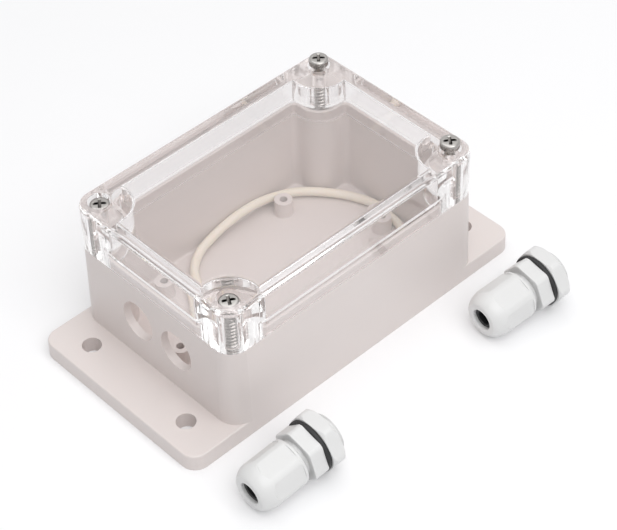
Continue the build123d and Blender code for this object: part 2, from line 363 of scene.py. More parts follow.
@dataclass(frozen=True)
class TurnedSteel:
    """Plain stainless steel with fine turning marks round one screw's axis, and painted shade down in its
    recess.
    """

    centre: tuple[float, float, float]
    name: str
    colour: Colour = (0.40, 0.385, 0.37)
    gloss: float = 0.24
    mark: float = 0.00022
    mark_depth: float = 0.000004
    recess_floor: float = 22.3 * MM
    recess_top: float = 24.25 * MM
    recess_edge: float = 2.2 * MM
    worn_colour: Colour = (0.17, 0.15, 0.13)
    # Near black painted into the cross recess as shade
    recess_shade_colour: Colour = (0.035, 0.03, 0.027)

    def build(self) -> bpy.types.Material:
        """Make the material.

        Returns:
            The finished material.
        """
        r = Recipe(bpy.data.materials.new("turned_steel_" + self.name))
        where = r.place(centre=self.centre)
        rings = r.value(r.add("TexWave", {"wave_type": "RINGS", "rings_direction": "Z"}, {
            "Vector": where, "Scale": 0.05 / self.mark, "Distortion": 0.6, "Detail": 2.0, "Detail Scale": 2.0,
        }), 1)
        dirt = r.noise(where, 0.0011, 3.0, 0.6)
        rough = self.gloss + (dirt - 0.5) * 0.22
        flat = r.place(centre=self.centre, stretch=(1, 1, 0))
        from_axis = r.value(r.add("VectorMath", {"operation": "LENGTH"}, {0: flat}), 1)
        height = r.value(r.add("SeparateXYZ", None, {0: where}), 2)
        # The recess, darkened with painted shade, is where a point is near the axis, below the head's top and
        # above the recess's floor
        recess_shade = ((self.recess_edge - from_axis) * (1 / (0.2 * MM))).clamped()
        recess_shade = recess_shade * ((self.recess_top - height) * (1 / (0.3 * MM))).clamped()
        recess_shade = recess_shade * ((height - self.recess_floor) * (1 / (0.1 * MM))).clamped()
        wear = ((dirt - 0.58).at_least(0.0) * 2.2).clamped()
        worn = r.tint(wear, r.shade(self.colour, rings, 0.05), self.worn_colour)
        # The cross recess is darkened towards near black by painted shade
        return r.finish(r.add("BsdfPrincipled", None, {
            "Base Color": r.tint(recess_shade * 0.8, worn, self.recess_shade_colour), "Metallic": 1.0,
            "Roughness": rough.clamped(), "Normal": r.bump(rings, self.mark_depth),
        }))


@dataclass(frozen=True)
class SoftSilicone:
    """Off-white silicone cord, matt, with faint dust on it."""

    colour: Colour = (0.865, 0.80, 0.70)
    dust: float = 0.0012

    def build(self) -> bpy.types.Material:
        """Make the material.

        Returns:
            The finished material.
        """
        r = Recipe(bpy.data.materials.new("soft_silicone"))
        where = r.place()
        cloud = r.noise(where, self.dust * 9, 3.0)
        dust = r.noise(where, self.dust * 0.35, 3.0, 0.65)
        skin = r.noise(where, self.dust * 2.5, 2.0)
        rough = 0.52 + (dust - 0.5) * 0.25
        return r.finish(r.add("BsdfPrincipled", None, {
            "Base Color": r.shade(self.colour, cloud, 0.035), "Roughness": rough.clamped(),
            "Normal": r.bump(dust, 0.000006, r.bump(skin, 0.00003)),
            "IOR": 1.43, "Subsurface Weight": 0.25, "Subsurface Radius": (0.0016, 0.0012, 0.0008),
            "Subsurface Scale": 1.0,
        }))


@dataclass(frozen=True)
class WhiteNylon:
    """White moulded nylon with a satin skin."""

    colour: Colour = (0.735, 0.735, 0.732)
    gloss: float = 0.33
    grain: float = 0.00045

    def build(self) -> bpy.types.Material:
        """Make the material.

        Returns:
            The finished material.
        """
        r = Recipe(bpy.data.materials.new("white_nylon"))
        where = r.place()
        cloud = r.noise(where, self.grain * 18, 3.0)
        grain = r.noise(where, self.grain, 2.0, 0.6)
        rough = self.gloss + (cloud - 0.5) * 0.16 + (grain - 0.5) * 0.08
        return r.finish(r.add("BsdfPrincipled", None, {
            "Base Color": r.shade(self.colour, cloud, 0.02), "Roughness": rough.clamped(),
            "Normal": r.bump(grain, 0.000006, r.bump(cloud, 0.00006)),
            "IOR": 1.53, "Subsurface Weight": 0.18, "Subsurface Radius": (0.0011, 0.0011, 0.0011),
            "Subsurface Scale": 1.0,
        }))


@dataclass(frozen=True)
class BlackRubber:
    """Matt black rubber with a trace of mould powder."""

    colour: Colour = (0.012, 0.012, 0.013)
    powder_colour: Colour = (0.09, 0.09, 0.095)
    powder: float = 0.0004

    def build(self) -> bpy.types.Material:
        """Make the material.

        Returns:
            The finished material.
        """
        r = Recipe(bpy.data.materials.new("black_rubber"))
        where = r.place()
        powder = r.noise(where, self.powder, 4.0, 0.65)
        cloud = r.noise(where, self.powder * 12, 2.0)
        amount = ((powder * cloud - 0.27).at_least(0.0) * 0.9).clamped()
        rough = 0.58 + (powder - 0.5) * 0.3
        return r.finish(r.add("BsdfPrincipled", None, {
            "Base Color": r.tint(amount, self.colour + (1.0,), self.powder_colour),
            "Roughness": rough.clamped(), "Normal": r.bump(powder, 0.000012), "IOR": 1.5,
        }))


# Surfaces as whole arrays


def placed(name: str, data: Any) -> bpy.types.Object:
    """Link a new object that holds the data."""
    made = bpy.data.objects.new(name, data)
    bpy.context.scene.collection.objects.link(made)
    return made


def read_vectors(source: Any, key: str) -> np.ndarray:
    """Read one vector from each item of a mesh's collection."""
    flat = np.empty(len(source) * 3, np.float32)
    source.foreach_get(key, flat)
    return flat.reshape(-1, 3)


def grid_faces(rows: int, columns: int, wrap_rows: bool = False, wrap_columns: bool = False) -> np.ndarray:
    """List the four-sided faces of a grid of points.

    A face joins the points (i, j), (i + 1, j), (i + 1, j + 1) and (i, j + 1), with i and j taken round
    where the grid closes on itself.

    Args:
        rows: the number of rows of points.
        columns: the number of points in a row.
        wrap_rows: whether the last row joins the first.
        wrap_columns: whether each row closes on itself.

    Returns:
        The faces, as an array of four point numbers each.
    """
    down, across = np.arange(rows - (not wrap_rows)), np.arange(columns - (not wrap_columns))
    i, j = np.meshgrid(down, across, indexing="ij")
    below, beside = (i + 1) % rows, (j + 1) % columns
    corners = (i * columns + j, below * columns + j, below * columns + beside, i * columns + beside)
    return np.stack([c.ravel() for c in corners], axis=1)


def enclosed_volume(points: np.ndarray, faces: np.ndarray) -> float:
    """Give the volume inside closed four-sided faces, negative where they point inwards.

    Each face is cut in two triangles, and a sixth of the triple product of each one's corners is added up.
    """
    a, b, c, d = (points[faces[:, k]] for k in range(4))
    triple = np.einsum("ij,ij->i", a, np.cross(b, c)) + np.einsum("ij,ij->i", a, np.cross(c, d))
    return float(triple.sum() / 6)


class Solid:
    """A closed mesh gathered from one or more closed shells."""

    def __init__(self) -> None:
        """Start with no shell."""
        self.points: list[np.ndarray] = []
        self.faces: list[list[int]] = []
        self.count = 0

    def add_ring(self, grid: np.ndarray) -> None:
        """Add a shell that closes both ways, as a ring does.

        Args:
            grid: points of shape (rows, columns, 3).
        """
        rows, columns, _ = grid.shape
        points, faces = grid.reshape(-1, 3), grid_faces(rows, columns, True, True)
        if enclosed_volume(points, faces) < 0:
            faces = faces[:, ::-1]
        self._keep(points, faces.tolist())

    def add_run(self, grid: np.ndarray) -> None:
        """Add a bar whose closed sections are the rows, with a flat cap on each end.

        Args:
            grid: points of shape (rows, columns, 3), one row for each section.
        """
        rows, columns, _ = grid.shape
        points, faces = grid.reshape(-1, 3), grid_faces(rows, columns, False, True)
        first, last = list(range(columns)), list(range((rows - 1) * columns, rows * columns))
        # A side face runs from the first row to the second, so the caps turn opposite ways at the two ends
        caps = [first, last[::-1]]
        if enclosed_volume(points - points.mean(axis=0), faces) < 0:
            faces, caps = faces[:, ::-1], [cap[::-1] for cap in caps]
        self._keep(points, faces.tolist() + caps)

    def _keep(self, points: np.ndarray, faces: list[list[int]]) -> None:
        """Store one shell's points and faces, with its faces renumbered after those before it."""
        self.faces += [[corner + self.count for corner in face] for face in faces]
        self.points.append(points)
        self.count += len(points)

    def piece(self, name: str, material: bpy.types.Material, crease: float = 32.0) -> bpy.types.Object:
        """Make the scene's object, smooth except across sharp edges.

        Args:
            name: the object's name.
            material: its finish.
            crease: the angle in degrees above which an edge stays sharp.

        Returns:
            The new object, at the origin.
        """
        mesh = bpy.data.meshes.new(name)
        mesh.from_pydata(np.concatenate(self.points).tolist(), [], self.faces)
        mesh.polygons.foreach_set("use_smooth", np.ones(len(mesh.polygons), bool))
        mesh.set_sharp_from_angle(angle=math.radians(crease))
        mesh.materials.append(material)
        mesh.validate()
        return placed(name, mesh)


def softer(first: np.ndarray, second: np.ndarray, sharpness: float) -> np.ndarray:
    """Take the smaller of two radii with a rounded change between them.

    The result is (first to the power -n plus second to the power -n) to the power -1/n, with n the sharpness.
    """
    scale = np.minimum(first, second)
    return scale * ((scale / first) ** sharpness + (scale / second) ** sharpness) ** (-1 / sharpness)


def eased(share: np.ndarray) -> np.ndarray:
    """Ease from 0 to 1: three times the square of the share less twice its cube, kept between them."""
    share = np.clip(share, 0, 1)
    return share**2 * (3 - 2 * share)


def hexagon(angle: np.ndarray, flats: float) -> np.ndarray:
    """Give a hexagon's radius at an angle, with corners at 0, 60 and so on.

    It is half the width over flats, divided by the cosine of the angle from the middle of the nearest flat.
    """
    return flats / 2 / np.cos(np.mod(angle, SIXTH) - SIXTH / 2)


def thread_cut(station: np.ndarray, angle: np.ndarray, pitch: float, start: float, end: float) -> np.ndarray:
    """Give how deep a thread is cut, from 0 at its crest to 1 at its root.

    The cut follows how far the station is from the helix, which climbs one pitch in a turn: a flat crest
    and root with straight flanks between them. It fades out over half a pitch at each end.
    """
    steepness, land = 4.2, 0.55
    phase = np.mod(station / pitch - angle / TURN, 1.0)
    flank = np.clip(np.abs(phase - 0.5) * steepness - land, 0, 1)
    fade = np.clip(np.minimum(station - start, end - station) / (pitch / 2), 0, 1)
    return flank * fade


def rounded_corner(
    before: Sequence[float], corner: Sequence[float], after: Sequence[float], radius: float, steps: int = 4
) -> np.ndarray:
    """Replace a profile's corner by a smooth bend.

    The bend is a curve of the second degree with the corner as its middle control point, starting and
    ending a radius away from the corner along its two sides.

    Args:
        before: the profile's point before the corner.
        corner: the corner itself.
        after: the profile's point after the corner.
        radius: how far from the corner the bend starts.
        steps: the number of spans in the bend.

    Returns:
        The bend's points, as (steps + 1, 2).
    """
    b, c, a = (np.asarray(p, float) for p in (before, corner, after))
    start = c + (b - c) / np.linalg.norm(b - c) * radius
    end = c + (a - c) / np.linalg.norm(a - c) * radius
    t = np.linspace(0, 1, steps + 1)[:, None]
    return (1 - t) ** 2 * start + 2 * t * (1 - t) * c + t**2 * end


def profile(points: Sequence[tuple[float, float, float]], longest: float = 0.6 * MM) -> np.ndarray:
    """Round a closed profile's corners and divide its long sides.

    Args:
        points: station, radius and corner rounding of each point, in metres, round the profile.
        longest: the longest side left undivided.

    Returns:
        The profile as an array of station and radius.
    """
    spots = np.array(points, float)
    bends = []
    for k, (station, radius, rounding) in enumerate(spots):
        here = (station, radius)
        before, after = spots[k - 1][:2], spots[(k + 1) % len(spots)][:2]
        bends.append(rounded_corner(before, here, after, rounding) if rounding > 0 else np.array([here]))
    line = [bends[0]]
    for bend in bends[1:] + [bends[0][:1]]:
        gap = np.linalg.norm(bend[0] - line[-1][-1])
        count = int(gap / longest)
        if count:
            share = np.linspace(0, 1, count + 2)[1:-1, None]
            line.append(line[-1][-1] * (1 - share) + bend[0] * share)
        line.append(bend)
    return np.concatenate(line)[:-1]


@dataclass(frozen=True)
class Seat:
    """Where a turned piece sits: a point, the axis along it and the direction that angles start from."""

    origin: Vector
    axis: Vector
    side: Vector

    def turned(self, degrees: float) -> "Seat":
        """Turn the seat about its own axis."""
        return Seat(self.origin, self.axis, Matrix.Rotation(math.radians(degrees), 3, self.axis) @ self.side)

    def place(self, station: np.ndarray, radius: np.ndarray, angle: np.ndarray) -> np.ndarray:
        """Turn stations, radii and angles into points.

        A point is the origin plus the station along the axis, plus the radius times the cosine of the angle
        along the side and its sine across it.

        Args:
            station: distance along the axis.
            radius: distance from the axis.
            angle: angle from the side.

        Returns:
            Points with a last axis of three.
        """
        station, radius, angle = np.broadcast_arrays(station, radius, angle)
        cross = self.axis.cross(self.side)
        along, side, across = (np.array(v) for v in (self.axis, self.side, cross))
        flat = (radius * np.cos(angle))[..., None] * side + (radius * np.sin(angle))[..., None] * across
        return np.array(self.origin) + station[..., None] * along + flat


# Sub-assemblies


def dress(node: str, material: bpy.types.Material) -> None:
    """Give a CAD node its finish in each of its material slots."""
    for slot in frame["nodes"][node].material_slots:
        slot.material = material
    LOG.info("dressed %s with %s", node, material.name)


def lifted_copy(node: str, name: str, height: float, clearance: float) -> bpy.types.Object:
    """Copy a CAD node as one closed mesh with its lowest face lifted a hair off the face that it rests on.

    Two faces in one place can't both be hit by a ray, so a clear piece needs its own face to be apart. The
    copy's doubled points are merged, and its corners keep the directions that they had.

    Args:
        node: the CAD node.
        name: the new piece's name.
        height: the height of the shared face.
        clearance: how far the copy's face is lifted.

    Returns:
        The new piece.
    """
    mesh = frame["nodes"][node].data.copy()
    ways = read_vectors(mesh.corner_normals, "vector")
    mesh.attributes.new("corner_way", "FLOAT_VECTOR", "CORNER").data.foreach_set("vector", ways.ravel())
    work = bmesh.new()
    work.from_mesh(mesh)
    bmesh.ops.remove_doubles(work, verts=work.verts, dist=TOUCH)
    work.to_mesh(mesh)
    work.free()
    ways = read_vectors(mesh.attributes["corner_way"].data, "vector")
    mesh.attributes.remove(mesh.attributes["corner_way"])
    spots = read_vectors(mesh.vertices, "co")
    spots[:, 2] = np.where(np.abs(spots[:, 2] - height) < clearance / 2, height + clearance, spots[:, 2])
    mesh.vertices.foreach_set("co", spots.ravel())
    mesh.normals_split_custom_set(ways.tolist())
    return placed(name, mesh)


@dataclass
class SealCord:
    """The loose silicone cord inside the box, one smooth curve."""

    thickness: float = 2.9 * MM
    length: float = 0.2856
    rest_height: float = 4.55
    foot_rise: float = 0.4
    shoulder_rise: float = 1.2
    top_rise: float = 3.1

    def route(self) -> list[tuple[float, float, float]]:
        """Give the route's points in millimetres, from the front end round the back to the middle."""
        low = self.rest_height
        foot, shoulder, top = (low + rise for rise in (self.foot_rise, self.shoulder_rise, self.top_rise))
        return [
            (29.5, -29.2, low), (18.0, -29.3, low), (6.0, -29.6, low), (-6.0, -28.3, low),
            (-18.0, -29.5, low), (-27.0, -29.0, low), (-33.0, -24.0, low), (-34.3, -16.0, low),
            (-33.5, -7.0, low), (-30.0, 1.5, low), (-24.5, 9.0, low), (-19.3, 16.0, low),
            (-15.7, 23.0, low), (-9.8, 27.6, foot), (-2.0, 29.5, shoulder), (7.0, 29.7, top),
            (16.5, 29.7, top), (24.7, 29.3, shoulder), (31.8, 26.6, foot), (37.0, 21.0, foot),
            (41.8, 14.6, low), (44.9, 7.4, low), (45.6, 0.0, low), (43.6, -7.0, low),
            (40.0, -13.4, low), (33.4, -17.6, low), (24.5, -17.0, low), (14.5, -13.6, low),
            (4.0, -13.9, low), (-5.5, -18.0, low), (-15.5, -19.3, low), (-24.0, -15.8, low),
            (-28.3, -8.8, low),
        ]

    def build(self, material: bpy.types.Material) -> bpy.types.Object:
        """Lay the cord as a round curve along its route.

        Args:
            material: the silicone.

        Returns:
            The curve object.
        """
        points = [tuple(v * MM for v in point) for point in self.route()]
        curve = bpy.data.curves.new("silicone_cord", "CURVE")
        curve.dimensions = "3D"
        curve.bevel_depth = self.thickness / 2
        curve.bevel_resolution = 5
        curve.use_fill_caps = True
        curve.resolution_u = 10
        spline = curve.splines.new("NURBS")
        spline.points.add(len(points) - 1)
        spline.points.foreach_set("co", np.hstack([points, np.ones((len(points), 1))]).ravel())
        spline.order_u = 3
        spline.use_endpoint_u = True
        curve.materials.append(material)
        piece = placed("silicone_cord", curve)
        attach(piece, "box")
        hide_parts("seal_cord")
        return piece


@dataclass
class LidScrew:
    """A lid screw: a pan head with a cross recess, a core and the rolled thread wound round it.

    Heights run along the screw from its tip, and grow towards the head.
    """

    corner: Corner
    cross_turn: float
    core_radius: float = 1.4 * MM
    tip_radius: float = 0.6 * MM
    tip_length: float = 2.5 * MM
    ridge: float = 0.36 * MM
    pitch: float = 1.25 * MM
    first: float = 2.0 * MM
    last: float = 19.6 * MM
    shank: float = 22.0 * MM
    sink: float = 0.12 * MM
    head_radius: float = 3.0 * MM
    head_height: float = 2.35 * MM
    head_side: float = 1.7 * MM
    recess_depth: float = 1.5 * MM
    recess_reach: float = 1.95 * MM
    recess_width: float = 1.0 * MM
    arm_steepness: float = 1.6
    arm_side: float = 0.14 * MM
    top_fall: float = 0.15 * MM
    top_rows: int = 76
    hole_at_axis: float = 0.03 * MM
    crest_share: float = 0.05
    root_share: float = 0.30
    steps_round: int = 288
    steps_a_turn: int = 40

    @property
    def node(self) -> str:
        """Name the CAD node."""
        return "lid_screw_" + self.corner.value

    @property
    def body(self) -> str:
        """Name the CAD body."""
        return self.corner.value + "_screw"

    def foot(self) -> Vector:
        """Find the middle of the screw's tip from the frame."""
        low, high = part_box(self.node)
        return Vector(((low.x + high.x) / 2, (low.y + high.y) / 2, low.z))

    def recess(self, radius: np.ndarray, angle: np.ndarray) -> np.ndarray:
        """Give the depth of the cross recess.

        An arm is as deep as the share of its reach that is left, times its steepness and at most 1, and its
        sides rise steeply at half its width. The deeper of the two arms counts.
        """
        x, y = radius * np.cos(angle), radius * np.sin(angle)
        depths = []
        for along, across in ((x, y), (y, x)):
            floor = np.clip((1 - np.abs(along) / self.recess_reach) * self.arm_steepness, 0, 1)
            side = eased((self.recess_width / 2 - np.abs(across)) / self.arm_side)
            depths.append(self.recess_depth * floor * side)
        return np.maximum(*depths)

    def add_core(self, solid: Solid, seat: Seat) -> None:
        """Add the core and the head, whose nearly flat top is lowered by the recess.

        From the edge's rounding inwards, the top falls from the middle by its fall times the square of the
        share of the head's radius.
        """
        bend = rounded_corner(
            (self.shank, self.head_radius), (self.shank + self.head_height - 0.12 * MM, self.head_radius),
            (self.shank + self.head_height, 0), self.head_height - self.head_side, 6,
        )
        inner = np.linspace(bend[-1, 1], self.hole_at_axis, self.top_rows)[1:]
        share = inner / self.head_radius
        rows = np.array([
            (0, self.tip_radius), (self.tip_length, self.core_radius), (self.shank, self.core_radius),
            (self.shank, self.head_radius - 0.15 * MM), (self.shank + 0.15 * MM, self.head_radius),
        ])
        top = self.shank + self.head_height - self.top_fall * share**2
        height = np.concatenate([rows[:, 0], bend[:, 0], top])[:, None]
        radius = np.concatenate([rows[:, 1], bend[:, 1], inner])[:, None]
        angle = np.arange(self.steps_round)[None, :] * TURN / self.steps_round
        on_top = np.arange(len(height))[:, None] >= len(rows) + len(bend) - 1
        height = height - np.where(on_top, self.recess(radius, angle), 0.0)
        solid.add_run(seat.turned(self.cross_turn).place(height, radius, angle))

    def add_thread(self, solid: Solid, seat: Seat) -> None:
        """Add the thread.

        Its section is a triangle with a narrow crest. It is carried along a helix whose height is the pitch
        times the turns made, and it shrinks into the core over the first and last turn.
        """
        turns = (self.last - self.first) / self.pitch
        angle = np.linspace(0, turns * TURN, int(turns * self.steps_a_turn))[:, None]
        climb = self.shank - self.last + angle / TURN * self.pitch
        run_out = np.clip(np.minimum(angle, turns * TURN - angle) / TURN, 0.0, 1.0)
        height = np.array([[-1.0, 1.0, 1.0, -1.0]]) * self.ridge * run_out
        root, crest = self.root_share, self.crest_share
        offset = np.array([[-root, -crest, crest, root]]) * self.pitch
        radius = self.core_radius + np.where(height > 0, height, -self.sink)
        solid.add_run(seat.place(climb + offset, radius, angle))

    def build(self) -> bpy.types.Object:
        """Make the screw in place of its CAD node.

        Returns:
            The screw's object.
        """
        foot = self.foot()
        seat = Seat(foot, Vector((0, 0, 1)), Vector((1, 0, 0)))
        solid = Solid()
        self.add_core(solid, seat)
        self.add_thread(solid, seat)
        steel = TurnedSteel(tuple(foot), self.corner.value).build()
        screw = solid.piece("steel_screw_" + self.corner.value, steel)
        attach(screw, self.body)
        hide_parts(self.node)
        return screw


class GlandPart(Enum):
    """The gland's pieces, each with its own name, its CAD node, its body and its material slot."""

    BODY = ("trunk_moulding", "body", "trunk", "gland_nylon")
    DOME_NUT = ("dome_moulding", "dome_nut", "cap", "gland_nylon")
    INSERT = ("rubber_insert", "seal_insert", "sleeve", "seal_rubber")
    WASHER = ("flat_ring", "washer", "flat_seal", "seal_rubber")
    LOCK_NUT = ("back_nut_moulding", "lock_nut", "back_nut", "gland_nylon")


@dataclass
class CableGland:
    """A cable gland lying on its side: body, dome nut, sealing insert, washer and lock nut.

    Stations run along the axis from the face that seats on the washer, and grow towards the dome.
    """

    number: int
    body_turn: float
    dome_turn: float
    cap_joint_station: float = 14.3 * MM
    steps_round: int = 216
    wall_thread: float = 12.4 * MM
    wall_thread_length: float = 8.0 * MM
    wall_pitch: float = 1.27 * MM
    bore: float = 8.5 * MM
    hex_flats: float = 15.35 * MM
    hex_corner_share: float = 0.963
    hex_sharpness: float = 200.0
    hex_height: float = 4.8 * MM
    cap_thread: float = 11.6 * MM
    cap_thread_end: float = 11.8 * MM
    cap_pitch: float = 1.5 * MM
    thread_depth: float = 0.55 * MM
    claw_end: float = 16.8 * MM
    claw_root: float = 11.0 * MM
    claw_tip: float = 9.7 * MM
    claw_slot: float = 0.9 * MM
    claws: int = 8
    nut_start: float = 6.4 * MM
    nut_end: float = 22.3 * MM
    nut_flats: float = 14.0 * MM
    nut_sharpness: float = 150.0
    lip_radius: float = 7.3 * MM
    lip_end: float = 7.2 * MM
    nut_diameter: float = 15.2 * MM
    shoulder: float = 16.0 * MM
    flat_end: float = 17.7 * MM
    front_diameter: float = 10.4 * MM
    thread_reach: float = 13.4 * MM
    step_end: float = 18.9 * MM
    mouth: float = 6.8 * MM
    mouth_start: float = 19.9 * MM
    running_gap: float = 0.05 * MM
    insert_start: float = 10.8 * MM
    insert_flange: float = 17.1 * MM
    insert_end: float = 18.1 * MM
    insert_outside: float = 8.3 * MM
    insert_flange_diameter: float = 8.9 * MM
    insert_bore: float = 6.5 * MM
    nose_end: float = 21.2 * MM
    nose_diameter: float = 6.6 * MM
    nose_bore: float = 4.6 * MM
    washer_diameter: float = 16.9 * MM
    washer_thickness: float = 1.3 * MM
    lock_flats: float = 17.4 * MM
    lock_sharpness: float = 110.0
    lock_diameter: float = 19.4 * MM
    lock_end: float = 5.8 * MM

    def seat(self) -> Seat:
        """Find the gland's axis from the frame's joint for its dome nut.

        Returns:
            The seat, its side level and pointing to the front.
        """
        joint = next(j for j in frame["joints"] if j["name"] == f"gland_{self.number}_cap_turn")
        axis = Vector(joint["axis"]).normalized()
        origin = Vector(joint["pos_m"]) - axis * self.cap_joint_station
        level = Vector((0, 0, 1)).cross(axis).normalized()
        return Seat(origin, axis, level)

    def angles(self) -> np.ndarray:
        """Give the angles round the axis as a row."""
        return np.arange(self.steps_round)[None, :] * TURN / self.steps_round

    def spread(self, line: np.ndarray) -> tuple[np.ndarray, np.ndarray, np.ndarray]:
        """Split a profile in columns of station and radius, and give the angles as a row."""
        return line[:, :1], line[:, 1:], self.angles()

    def body(self) -> Solid:
        """Make the body with both threads, the hexagon and the ring of claws.

        Returns:
            The body's shells.
        """
        bore, wall, cap = self.bore / 2, self.wall_thread / 2, self.cap_thread / 2
        edge = 0.25 * MM
        bevel = edge * 1.4
        corner = self.hex_flats / 2 / math.cos(SIXTH / 2)
        line = profile([
            (-self.wall_thread_length, bore, edge),
            (-self.wall_thread_length, wall - edge, edge),
            (-self.wall_thread_length + edge, wall, 0.0),
            (-edge, wall, 0.0),
            (0.0, wall, 0.0),
            (0.0, corner, edge),
            (self.hex_height, corner, bevel),
            (self.hex_height, cap, 0.0),
            (self.cap_thread_end, cap, edge),
            (self.cap_thread_end, bore, edge),
        ], 0.12 * MM)
        station, radius, angle = self.spread(line)
        # The hexagon cuts the round profile down where it stands out beyond the threads
        inset = np.clip(corner - radius, 0, bevel)
        turned_down = np.full_like(angle, corner * self.hex_corner_share)
        outline = softer(hexagon(angle, self.hex_flats), turned_down, self.hex_sharpness)
        on_hex = (radius > corner - edge * 1.5) & (station > -edge) & (station < self.hex_height + edge)
        shape = np.where(on_hex, outline - inset, np.broadcast_to(radius, (len(line), angle.shape[1])))
        between = (station > -TOUCH) & (station < self.hex_height + TOUCH) & ~on_hex & (radius > wall + TOUCH)
        front = (np.abs(station - self.hex_height) < TOUCH) & ~on_hex & (radius > cap + TOUCH)
        # The hexagon's two faces run from the thread inside to the outline outside
        for inside, face in ((wall, between), (cap, front)):
            share = (radius - inside) / (corner - bevel - inside)
            shape = np.where(face, inside + share * (outline - bevel - inside), shape)
        threads = (
            (wall, station < -edge / 2, self.wall_pitch, -self.wall_thread_length, -0.2 * MM),
            (cap, station > self.hex_height, self.cap_pitch, self.hex_height + 0.3 * MM, self.cap_thread_end),
        )
        for crest, along, pitch, begin, stop in threads:
            cut = thread_cut(station, angle, pitch, begin, stop)
            shape = shape - np.where((np.abs(radius - crest) < TOUCH) & along, cut * self.thread_depth, 0.0)
        solid = Solid()
        solid.add_ring(self.seat().turned(self.body_turn).place(station, shape, angle))
        self.add_claws(solid)
        return solid

    def add_claws(self, solid: Solid) -> None:
        """Add the ring of claws, each a bar of four-cornered section swept along its share of the ring.

        A claw's section is its root and tip outside and the bore inside, and its angle runs between the
        slots on its two sides.
        """
        inner = self.bore / 2
        root = self.cap_thread_end - 0.3 * MM
        section = profile([
            (root, inner, 0.0), (root, self.claw_root / 2, 0.0),
            (self.claw_end, self.claw_tip / 2, 0.2 * MM), (self.claw_end, inner, 0.1 * MM),
        ])
        half = TURN / self.claws / 2
        slot = self.claw_slot / 2 / inner
        seat = self.seat().turned(self.body_turn)
        for k in range(self.claws):
            middle = (2 * k + 1) * half
            angle = np.linspace(middle - half + slot, middle + half - slot, 12)[:, None]
            solid.add_run(seat.place(section[None, :, 0], section[None, :, 1], angle))

    def round_line(self, station: np.ndarray) -> np.ndarray:
        """Give the dome nut's round outline: a thin lip, a step up to the barrel, then the dome.

        The dome falls from the shoulder to the front. With w the share of the way between them, its radius is
        the front's plus the rest times (1 - w^2.3)^(2/3).
        """
        outer, front = self.nut_diameter / 2, self.front_diameter / 2
        step = eased((station - self.lip_end) / (0.25 * MM))
        barrel = self.lip_radius + (outer - self.lip_radius) * step
        way = np.clip((station - self.shoulder) / (self.nut_end - self.shoulder), 0, 1)
        dome = front + (outer - front) * (1 - way**2.3) ** (2 / 3)
        return np.minimum(barrel, dome)

    def flat_line(self, station: np.ndarray, angle: np.ndarray) -> np.ndarray:
        """Give the dome nut's six flats, which stop at the lip behind and at a scalloped step in front."""
        front = self.flat_end + 0.5 * MM * np.cos(6 * (angle - SIXTH / 2))
        clear = eased((self.lip_end + 0.15 * MM - station) / (0.15 * MM))
        clear = clear + eased((station - front) / (0.4 * MM))
        return hexagon(angle, self.nut_flats) + 1.6 * MM * clear

    def dome_nut(self) -> Solid:
        """Make the dome nut: a barrel with six flats that runs out into a dome, threaded inside.

        Its outside is the softer minimum of the round outline and the flats.

        Returns:
            The nut's shell.
        """
        thread = self.cap_thread / 2 + self.running_gap
        mouth, front = self.mouth / 2, self.front_diameter / 2
        cone_end = self.claw_tip / 2 + 0.05 * MM
        back = (self.nut_start, self.lip_radius - 2 * MM)
        edge, ahead_of_edge = (self.nut_start, self.lip_radius), (self.nut_start + 2 * MM, self.lip_radius)
        rear = rounded_corner(back, edge, ahead_of_edge, 0.3 * MM)
        swing = np.linspace(0, 1, 30)[1:]
        # Rows stand close at the lip, where the flats run out and towards the front
        ahead = np.concatenate([
            np.linspace(self.nut_start + 0.4 * MM, 7.6 * MM, 20),
            np.linspace(8.0 * MM, 15.6 * MM, 12),
            np.linspace(15.8 * MM, self.step_end, 38),
            self.step_end + (self.nut_end - self.step_end) * (1 - (1 - swing) ** 1.6),
        ])
        rim = (self.nut_end, front), (self.nut_end, mouth), (self.nut_end - 2 * MM, mouth)
        lip = rounded_corner(*rim, 0.6 * MM, 6)
        bore_line = profile([
            (self.nut_end - 1.2 * MM, mouth, 0.0), (self.mouth_start, mouth, 0.0),
            (self.mouth_start, cone_end, 0.0), (self.thread_reach, thread, 0.0),
            (self.nut_start, thread, 0.3 * MM), (self.nut_start, self.lip_radius - 1.0 * MM, 0.0),
        ], 0.14 * MM)
        station = np.concatenate([rear[:, 0], ahead, lip[:, 0], bore_line[:, 0]])[:, None]
        radius = np.concatenate([rear[:, 1], self.round_line(ahead), lip[:, 1], bore_line[:, 1]])[:, None]
        angle = self.angles()
        limit = np.broadcast_to(radius, (len(radius), angle.shape[1]))
        outside = np.arange(len(radius))[:, None] < len(rear) + len(ahead)
        shape = np.where(outside, softer(self.flat_line(station, angle), limit, self.nut_sharpness), limit)
        cut = thread_cut(station, angle, self.cap_pitch, self.nut_start, self.thread_reach)
        in_thread = (~outside) & (np.abs(radius - thread) < TOUCH)
        shape = shape + np.where(in_thread, cut * self.thread_depth, 0.0)
        solid = Solid()
        solid.add_ring(self.seat().turned(self.dome_turn).place(station, shape, angle))
        return solid

